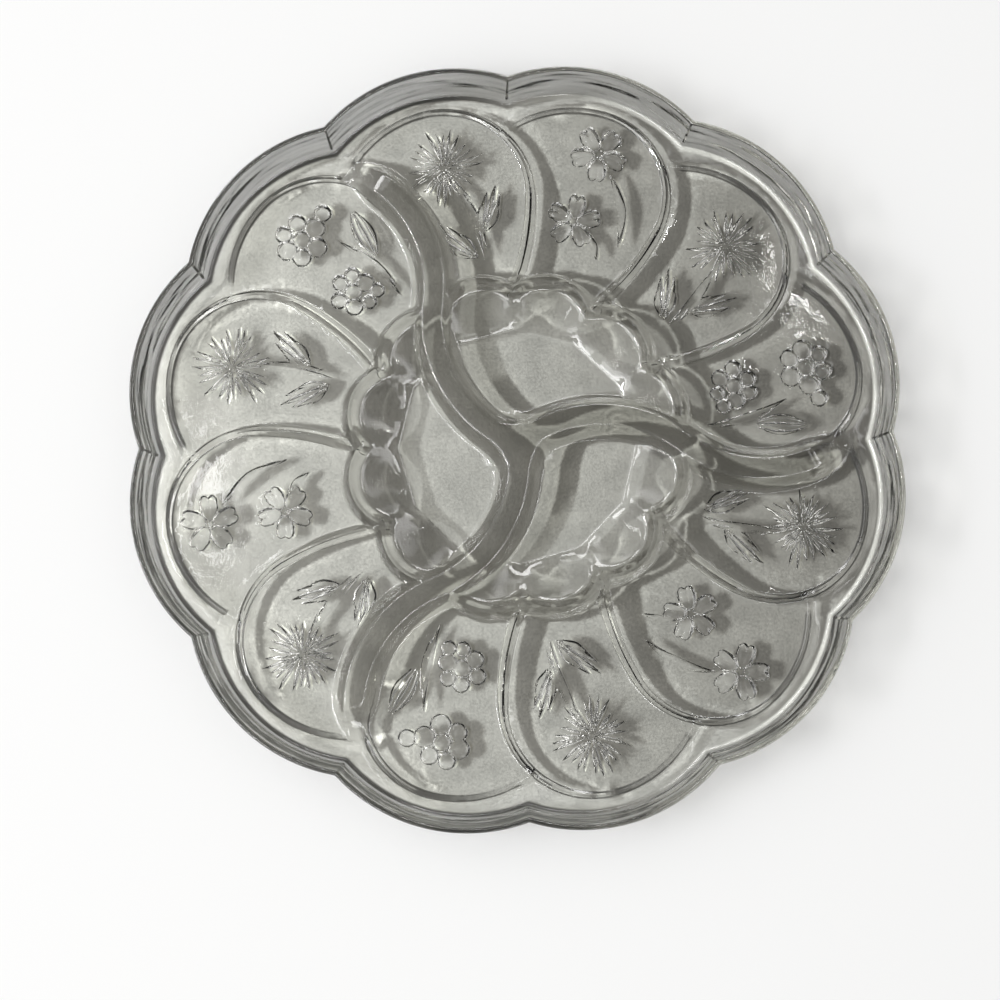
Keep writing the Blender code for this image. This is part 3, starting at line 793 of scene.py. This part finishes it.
def make_body(light):
    """Points and faces: the underside, the outer wall, the lip and inner wall, and the inside."""
    theta = angles(AROUND)
    rings = [ring_of(rim_reach(theta, inset), z) for inset, z in rim_profile()]
    under_edge, top_edge = rings[0], rings[-1]
    foot = [ring_of(rim_reach(theta, WALL_FOOT + off), 0.0)[:, :2] for off in (-0.5, 0.0, 0.5, 1.1)]
    features = np.concatenate([flower_points(True), end_points(), groove_points()] + foot)
    fill = np.concatenate((busy(hex_points(BUSY_STEP), light), hex_points(3.0)))
    under, under_tris = triangulated(under_edge, filled(under_edge, features, fill, UNDER_CELL))
    under = np.column_stack((under, under_height(under[:, 0], under[:, 1])))
    under[:AROUND] = under_edge
    top, top_tris = triangulated(top_edge, filled(top_edge, top_points(), hex_points(2.4), TOP_CELL))
    top = np.column_stack((top, top_height(top[:, 0], top[:, 1])))
    top[:AROUND] = top_edge
    points = np.concatenate([under] + rings[1:-1] + [top])
    first = len(under)
    numbers = [np.arange(AROUND)]
    numbers += [first + AROUND * row + np.arange(AROUND) for row in range(len(rings) - 1)]
    faces = [under_tris[:, ::-1], top_tris + numbers[-1][0]]
    for a, b in zip(numbers, numbers[1:]):
        faces.append(np.stack((a, np.roll(a, -1), np.roll(b, -1), b), 1))
    return points, faces, first


def make_mesh(name, points, faces):
    mesh = bpy.data.meshes.new(name)
    mesh.vertices.add(len(points))
    mesh.vertices.foreach_set("co", (points * MM).astype(np.float32).ravel())
    starts, loops, total = [], [], 0
    for block in faces:
        starts.append(total + block.shape[1] * np.arange(len(block)))
        loops.append(block.ravel())
        total += block.size
    loops, starts = np.concatenate(loops), np.concatenate(starts)
    mesh.loops.add(len(loops))
    mesh.loops.foreach_set("vertex_index", loops.astype(np.int32))
    mesh.polygons.add(len(starts))
    mesh.polygons.foreach_set("loop_start", starts.astype(np.int32))
    mesh.update(calc_edges=True)
    mesh.validate()
    mesh.shade_smooth()
    mesh.set_sharp_from_angle(angle=SHARP_ANGLE)
    return mesh


def downlight(x, y):
    """From -1 on the side of the dish that faces the key light to 1 on the far side."""
    return np.cos(np.arctan2(y, x) - LIGHT_TURN)


def table_light():
    """Key light that reaches the table under the dish, on a grid along the light's way.

    Each ray is bent where it enters the relief and again where it leaves the floor, so that
    crests gather it into bright lines and leave shade behind them.
    """
    row = np.arange(-RIM_RADIUS, RIM_RADIUS, LIGHT_CELL)
    a, b = np.meshgrid(row, row, indexing="ij")
    x, y = turned(a, b, LIGHT_TURN)
    inside = np.hypot(x, y) < rim_reach(np.arctan2(y, x), WALL_FOOT)
    high = np.full(a.shape, GUTTER_Z)
    # The petals' outer edges are traced as shading the table only on the side away from the key light
    ends = smooth((downlight(x, y) - 0.1) / 0.5)
    domes = ornament(x[inside], y[inside], 1)
    high[inside] = top_height(x[inside], y[inside], ends[inside]) - DOME_SWELL * domes
    # Painted shadow of the flowers: their plan, shifted along the light's way and blurred, darkens the
    # pattern
    flowers = np.zeros(a.shape)
    flowers[inside] = smooth(np.maximum(ornament(x[inside], y[inside], 0), domes) / 0.3)
    flowers = np.roll(flowers, int(round(FLOWER_SHIFT / LIGHT_CELL)), axis=0)
    rise_a, rise_b = np.gradient(high, LIGHT_CELL)
    norm = np.sqrt(1.0 + rise_a ** 2 + rise_b ** 2)
    cos_e, sin_e = math.cos(LIGHT_RISE), math.sin(LIGHT_RISE)
    facing = rise_a * cos_e + sin_e
    level = high + a * sin_e / cos_e
    lit = (facing > 0.0) & (level >= np.maximum.accumulate(level, axis=0) - 0.05)
    meet = np.clip(facing / norm, 0.0, 1.0)
    bend = (meet / IOR - np.sqrt(1.0 - (1.0 - meet ** 2) / IOR ** 2)) / norm
    go_a, go_b, go_z = cos_e / IOR - bend * rise_a, -bend * rise_b, -sin_e / IOR + bend
    flat = np.hypot(go_a, go_b)
    lit &= (go_z < -0.05) & (IOR * flat < 0.98)
    fall = high / np.maximum(-go_z, 0.05)
    spread = FOOT_GAP * IOR / np.sqrt(np.maximum(1.0 - (IOR * flat) ** 2, 0.02))
    at_a, at_b = a + go_a * (fall + spread), b + go_b * (fall + spread)
    let_in = (1.0 - (1.0 - meet) ** 5) / (1.0 - (1.0 - sin_e) ** 5)
    weight = np.where(lit, facing / sin_e * let_in, 0.0)
    count = len(row)
    i, j = (at_a + RIM_RADIUS) / LIGHT_CELL, (at_b + RIM_RADIUS) / LIGHT_CELL
    i0, j0 = np.floor(i).astype(int), np.floor(j).astype(int)
    total = np.zeros(count * count)
    for di in (0, 1):
        for dj in (0, 1):
            share = weight * np.abs(1 - di - (i - i0)) * np.abs(1 - dj - (j - j0))
            here = (i0 + di >= 0) & (i0 + di < count) & (j0 + dj >= 0) & (j0 + dj < count)
            total += np.bincount(((i0 + di) * count + j0 + dj)[here], share[here], count * count)
    painted_flower_shadow = blurred(np.clip(1.6 * blurred(flowers, FLOWER_BLUR), 0.0, 1.0), FLOWER_BLUR)
    pattern = blurred(total.reshape(count, count), LIGHT_BLUR)
    # Painted bright and dark lines along the edges of the pattern
    pattern += LIGHT_CRISP * (pattern - blurred(pattern, CRISP_REACH))
    return pattern * (1.0 - FLOWER_SHADE * painted_flower_shadow)


def blurred(grid, reach):
    """A grid of the light blurred over a reach in millimetres."""
    pitch = np.fft.fftfreq(len(grid), LIGHT_CELL)
    soft = np.exp(-2.0 * (math.pi * reach) ** 2 * (pitch[:, None] ** 2 + pitch[None, :] ** 2))
    return np.fft.ifft2(np.fft.fft2(grid) * soft).real


def light_at(light, x, y):
    """The grid's light under each place."""
    a, b = turned(x, y, -LIGHT_TURN)
    i = np.clip((a + RIM_RADIUS) / LIGHT_CELL, 0, len(light) - 1.001)
    j = np.clip((b + RIM_RADIUS) / LIGHT_CELL, 0, len(light) - 1.001)
    i0, j0 = i.astype(int), j.astype(int)
    fi, fj = i - i0, j - j0
    low = light[i0, j0] * (1.0 - fj) + light[i0, j0 + 1] * fj
    high = light[i0 + 1, j0] * (1.0 - fj) + light[i0 + 1, j0 + 1] * fj
    return low * (1.0 - fi) + high * fi


def painted_end_shade(x, y):
    """Painted shade on the table under a petal's outer edge: a dark line that fades in and then narrows.
    """
    lobe = lobe_of(x, y)
    line = np.zeros_like(x)
    for step in (-1, 0, 1):
        u, v = in_lobe(x, y, (lobe + step) % LOBES)
        for stretch, (start, end) in zip((1, 2), END_WIDTHS):
            near, _, along = arc_near(u, v, *RIDGE_ARCS[stretch])
            wide = start + (end - start) * along
            fade = smooth(along / END_FADE) if stretch == 1 else 1.0
            line = np.maximum(line, fade * (1.0 - smooth((near - wide + 0.2) / 0.4)))
    return line


def lamp_share(mesh, points, under, light):
    """Keeps how much lamp light each place lets through to the table, and how wavy the outer wall is.

    The first points, those of the underside, carry the light's pattern.
    """
    x, y = points[:under, 0], points[:under, 1]
    edge = rim_reach(np.arctan2(y, x), WALL_FOOT)
    found = np.clip(light_at(light, x, y), SHADE_FLOOR, SHADE_TOP)
    far = downlight(x, y)
    lobe = lobe_of(x, y)
    u, v = in_lobe(x, y, lobe)
    open_floor = 1.0 - smooth(divider_height(x, y) / 1.5)
    in_well = open_floor * (1.0 - smooth((np.hypot(u - WELL_CENTRE, v) - WELL_ARC + 2.5) / 2.5))
    # Painted light: the shade on the wells' floors is evened out part way
    found += in_well * WELL_SHADE * (1.0 - found)
    flutes = in_well * smooth((u - WELL_FLOOR_RADIUS * math.cos(HALF)) / 0.8)
    # Painted shade on the flutes on the key light's side, painted light on the far side
    found *= 1.0 + flutes * (FLUTE_LIGHT[0] + FLUTE_LIGHT[1] * smooth((far + 0.9) / 1.5) - 1.0)
    # Painted light under the walls: almost none on the key light's side, much on the far side
    painted_wall_light = WALL_LIGHT[0] + WALL_LIGHT[1] * smooth(far + 0.1)
    gutter = gutter_drop(x, y, lobe) / (FLOOR_Z - GUTTER_Z)
    # Painted light in the gutter on its bright side
    painted_gutter_light = gutter * smooth(0.5 + 0.7 * np.cos(np.arctan2(y, x) - GUTTER_BRIGHT))
    found += GUTTER_EVEN_LIGHT * painted_gutter_light * (1.0 - found)
    found += (painted_wall_light - found) * smooth((np.hypot(x, y) - edge + 0.4) / 0.8)
    # Painted shade: a dark line on the table under each petal's outer edge
    found *= 1.0 - EDGE_SHADE * painted_end_shade(x, y)
    # Painted light, stronger towards the key light
    found *= 1.0 - LIGHT_FADE * turned(x, y, -LIGHT_TURN)[0]
    found *= 1.0 + GUTTER_EXTRA_LIGHT * painted_gutter_light
    colour = np.ones((len(points), 4), np.float32)
    colour[:, :3] = np.array(WALL_TINT)
    share = found[:, None]
    lit = np.clip(share, 0.0, 1.0)
    colour[:under, :3] = share * (np.array(SHADE_TINT) * (1.0 - lit) + np.array(LAMP_TINT) * lit)
    attribute = mesh.attributes.new("lamp_share", 'FLOAT_COLOR', 'POINT')
    attribute.data.foreach_set("color", colour.ravel())
    wall = np.zeros(len(points), np.float32)
    outer = slice(under, under + AROUND * OUTER_ROWS)
    far = downlight(points[outer, 0], points[outer, 1])
    wall[outer] = OUTER_WAVES[0] + OUTER_WAVES[1] * smooth((far + 0.6) / 1.2)
    attribute = mesh.attributes.new("outer_wall", 'FLOAT', 'POINT')
    attribute.data.foreach_set("value", wall)


def add_node(tree, kind, inputs, **settings):
    """Adds a shader node; each input is a constant or the output socket that feeds it."""
    node = tree.nodes.new("ShaderNode" + kind)
    for name, setting in settings.items():
        setattr(node, name, setting)
    feed(tree, node, inputs)
    return node


def feed(tree, node, inputs):
    for key, value in inputs.items():
        if isinstance(value, bpy.types.NodeSocket):
            tree.links.new(value, node.inputs[key])
        else:
            node.inputs[key].default_value = value


def math_node(tree, operation, *terms):
    return add_node(tree, "Math", dict(enumerate(terms)), operation=operation).outputs["Value"]


def vector_node(tree, operation, *terms):
    return add_node(tree, "VectorMath", dict(enumerate(terms)), operation=operation).outputs["Vector"]


def mapped(tree, value, start, end, low, high, curve='LINEAR'):
    """Maps a value between start and end to one between low and high."""
    inputs = {"Value": value, "From Min": start, "From Max": end, "To Min": low, "To Max": high}
    return add_node(tree, "MapRange", inputs, interpolation_type=curve).outputs["Result"]


def noise(tree, place, scale, detail):
    inputs = {"Vector": place, "Scale": scale, "Detail": detail}
    return add_node(tree, "TexNoise", inputs).outputs["Fac"]


def bumped(tree, height, strength, distance, below=None):
    inputs = {"Height": height, "Strength": strength, "Distance": distance}
    if below is not None:
        inputs["Normal"] = below
    return add_node(tree, "Bump", inputs).outputs["Normal"]


def ramp_of(tree, value, stops):
    """A colour ramp through stops, each a position and a colour."""
    ramp = add_node(tree, "ValToRGB", {"Fac": value})
    elements = ramp.color_ramp.elements
    elements[0].position = stops[0][0]
    elements[1].position = stops[-1][0]
    for position, _ in stops[1:-1]:
        elements.new(position)
    for element, (_, colour) in zip(elements, stops):
        element.color = (*colour, 1.0)
    return ramp.outputs["Color"]


def glass():
    """Clear pressed glass of a faint warm grey, slightly wavy and stippled by its mould."""
    material = bpy.data.materials.new("clear_pressed_glass")
    material.use_nodes = True
    tree = material.node_tree
    shader, out = tree.nodes["Principled BSDF"], tree.nodes["Material Output"]
    place = add_node(tree, "TexCoord", {}).outputs["Object"]
    outer_wall = add_node(tree, "Attribute", {}, attribute_name="outer_wall").outputs["Fac"]
    waves = noise(tree, place, *WAVES)
    stipple = noise(tree, place, *STIPPLE)
    streaks = noise(tree, vector_node(tree, 'MULTIPLY', place, STREAK_STRETCH), *STREAKS)
    normal = bumped(tree, waves, *WAVE_BUMP)
    normal = bumped(tree, stipple, *STIPPLE_BUMP, normal)
    normal = bumped(tree, streaks, outer_wall, STREAK_BUMP, normal)
    rough = mapped(tree, waves, 0.0, 1.0, 0.0, WAVE_ROUGH)
    feed(tree, shader, {"Base Color": GLASS_COLOUR,
                        "Transmission Weight": 1.0,
                        "IOR": IOR,
                        "Roughness": math_node(tree, 'MULTIPLY_ADD', outer_wall, STREAK_ROUGH, rough),
                        "Normal": normal})
    # Light from the lamps passes straight through, dimmed where the relief would turn it aside, with
    # painted light and shade from lamp_share and a grain from the stipple and waves.
    share = add_node(tree, "Attribute", {}, attribute_name="lamp_share").outputs["Color"]
    light_grain = math_node(tree, 'MULTIPLY',
                        mapped(tree, stipple, *NOISE_MIDDLE, *STIPPLE_LIGHT),
                        mapped(tree, waves, *NOISE_MIDDLE, *WAVE_LIGHT))
    clear = add_node(tree, "BsdfTransparent", {"Color": vector_node(tree, 'MULTIPLY', share, light_grain)})
    ray = add_node(tree, "LightPath", {}).outputs
    both = add_node(tree, "MixShader", {"Fac": ray["Is Shadow Ray"],
                                        1: shader.outputs["BSDF"],
                                        2: clear.outputs["BSDF"]})
    volume = add_node(tree, "VolumeAbsorption", {"Color": GLASS_DEPTH_COLOUR, "Density": GLASS_DENSITY})
    feed(tree, out, {"Surface": both.outputs["Shader"], "Volume": volume.outputs["Volume"]})
    return material


def make_dish():
    light = table_light()
    points, faces, under = make_body(light)
    mesh = make_mesh("dish_glass", points, faces)
    lamp_share(mesh, points, under, light)
    mesh.materials.append(glass())
    dish = bpy.data.objects.new("dish_glass", mesh)
    bpy.context.collection.objects.link(dish)
    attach(dish, "root")
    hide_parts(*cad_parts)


def make_floor():
    mesh = bpy.data.meshes.new("table")
    edge = [(TABLE_RADIUS * math.cos(turn), TABLE_RADIUS * math.sin(turn), TABLE_Z)
            for turn in angles(TABLE_SIDES)]
    mesh.from_pydata(edge, [], [tuple(range(TABLE_SIDES))])
    material = bpy.data.materials.new("table_white")
    material.use_nodes = True
    tree = material.node_tree
    place = add_node(tree, "TexCoord", {}).outputs["Object"]
    reach = add_node(tree, "VectorMath", {0: place}, operation='LENGTH').outputs["Value"]
    feed(tree, tree.nodes["Principled BSDF"], {
        "Base Color": TABLE_COLOUR,
        "Roughness": TABLE_ROUGH,
        "Specular IOR Level": 0.0,
        "Alpha": mapped(tree, reach, TABLE_FADE, TABLE_RADIUS, 1.0, 0.0, 'SMOOTHSTEP')})
    mesh.materials.append(material)
    floor = bpy.data.objects.new("table", mesh)
    bpy.context.collection.objects.link(floor)


def table_once(tree, light, lamp):
    """Sets a light's strength: the pattern under the glass already holds what comes through the glass."""
    ray = add_node(tree, "LightPath", {}).outputs
    depth = ray["Diffuse Depth"]
    if not lamp:
        depth = math_node(tree, 'MULTIPLY', depth, ray["Transmission Depth"])
    feed(tree, light, {"Strength": math_node(tree, 'LESS_THAN', depth, 0.5)})


def add_lamp(name, at, turn, width, height, energy):
    lamp = bpy.data.lights.new(name, 'AREA')
    lamp.shape = 'ELLIPSE'
    lamp.size = width
    lamp.size_y = height
    lamp.energy = energy
    lamp.use_nodes = True
    table_once(lamp.node_tree, lamp.node_tree.nodes["Emission"], True)
    item = bpy.data.objects.new(name, lamp)
    bpy.context.collection.objects.link(item)
    item.location = at
    item.rotation_euler = turn


def make_light():
    """A dim room with a window and a broken ring of ceiling light, a pale backdrop and three lamps."""
    world = bpy.data.worlds.new("studio")
    bpy.context.scene.world = world
    world.use_nodes = True
    tree = world.node_tree
    background = tree.nodes["Background"]
    place = add_node(tree, "TexCoord", {}).outputs["Generated"]
    split = add_node(tree, "SeparateXYZ", {"Vector": place}).outputs
    ray = add_node(tree, "LightPath", {}).outputs
    room = ramp_of(tree, split["Z"], ROOM_STOPS)
    lean = add_node(tree, "VectorMath", {0: place, 1: WINDOW_WAY}, operation='DOT_PRODUCT')
    window = ramp_of(tree, lean.outputs["Value"], WINDOW_STOPS)
    # The ring is seen where the glass mirrors it, and faintly through the glass.
    ring = ramp_of(tree, split["Z"], [(at, (level,) * 3) for at, level in RING_STOPS])
    patches = mapped(tree, noise(tree, place, *RING_PATCHES), *RING_BREAKS, 0.0, 1.0)
    mirrored = math_node(tree, 'MULTIPLY', ray["Is Reflection Ray"], ray["Is Glossy Ray"])
    sparkle = math_node(tree, 'MULTIPLY_ADD', ray["Is Transmission Ray"], RING_THROUGH, mirrored)
    level = math_node(tree, 'MULTIPLY', sparkle, patches)
    bright = add_node(tree, "VectorMath", {0: ring, "Scale": level}, operation='SCALE').outputs["Vector"]
    ceiling = vector_node(tree, 'MULTIPLY_ADD', bright, (RING_LEVEL,) * 3, window)
    sky = vector_node(tree, 'ADD', room, ceiling)
    # The backdrop is seen by the camera, also where it looks through the glass or is mirrored in it.
    direct = math_node(tree, 'ADD', ray["Is Camera Ray"], mirrored)
    side = mapped(tree, split["X"], -1.0, 1.0, *BACKDROP_THROUGH)
    seen = math_node(tree, 'MULTIPLY_ADD', ray["Is Transmission Ray"], side, direct)
    wall = mapped(tree, split["Z"], *BACKDROP_FADE, BACKDROP, 0.0, 'SMOOTHSTEP')
    feed(tree, background, {"Color": vector_node(tree, 'MULTIPLY_ADD', seen, wall, sky)})
    table_once(tree, background, False)
    key_turn = (-Vector(KEY_AT)).to_track_quat('-Z', 'Y').to_euler()
    add_lamp("key_left", KEY_AT, key_turn, 2.40, 0.55, 200.0)
    add_lamp("ceiling_a", (-0.211, 0.098, 0.80), (0.0, 0.0, math.radians(8.0)), 0.018, 0.12, 0.05)
    add_lamp("ceiling_b", (0.263, 0.257, 0.80), (0.0, 0.0, math.radians(33.0)), 0.018, 0.08, 0.11)


def make_camera():
    data = bpy.data.cameras.new("camera")
    data.lens = CAMERA_LENS
    data.sensor_width = CAMERA_SENSOR
    camera = bpy.data.objects.new("camera", data)
    bpy.context.collection.objects.link(camera)
    at = Vector(CAMERA_AT)
    back = (at - Vector(CAMERA_TARGET)).normalized()
    right = Vector(CAMERA_UP).cross(back).normalized()
    turn = Matrix((right, back.cross(right), back)).transposed()
    camera.matrix_world = Matrix.Translation(at) @ turn.to_4x4()
    bpy.context.scene.camera = camera


bpy.context.scene.view_settings.view_transform = 'Standard'
make_dish()
make_floor()
make_light()
make_camera()
